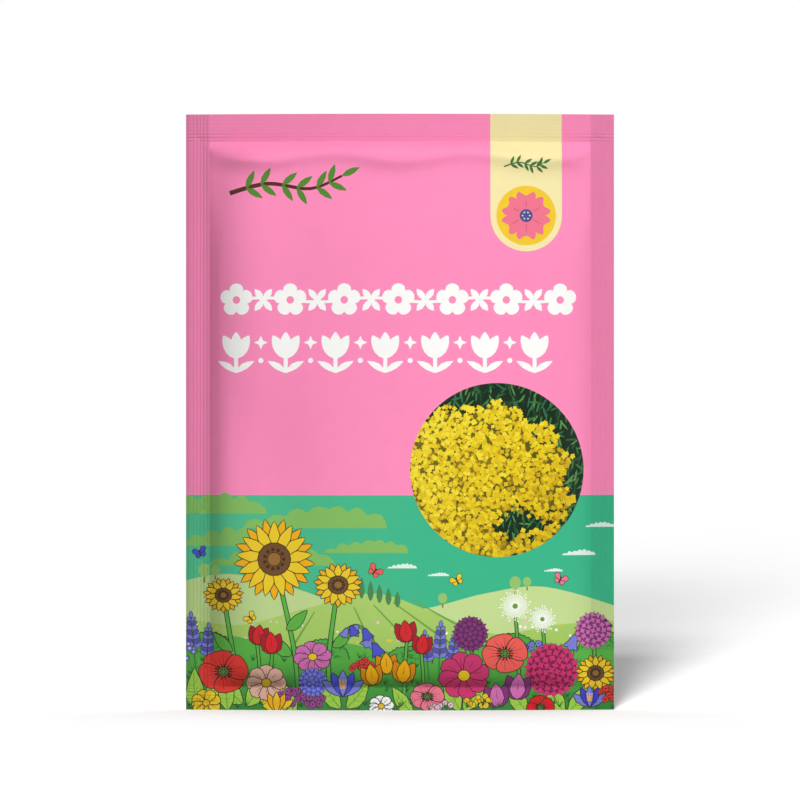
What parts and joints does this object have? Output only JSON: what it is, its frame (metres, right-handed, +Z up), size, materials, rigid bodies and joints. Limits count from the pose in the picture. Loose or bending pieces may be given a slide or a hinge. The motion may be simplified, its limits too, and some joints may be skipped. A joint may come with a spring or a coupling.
{
  "type": "seed packet",
  "caption": "Upright heat-sealed laminate seed packet, bowed so that it stands, with two puffed films, flat seal margins and loose seeds inside.",
  "frame": {"origin": "on the floor, in the middle of the packet's box", "axes": "+Z up; the printed front faces -Y; +X is on the right as the front is seen"},
  "size_m": [0.1006, 0.017, 0.14],
  "materials": {
    "printed_film": "glossy laminate, pink with a printed garden",
    "back_laminate": "glossy laminate, plainly printed",
    "seed_coat": null
  },
  "bodies": {
    "root": {"front_film": "printed_film", "back_film": "back_laminate", "seeds": "seed_coat"}
  },
  "joints": []
}
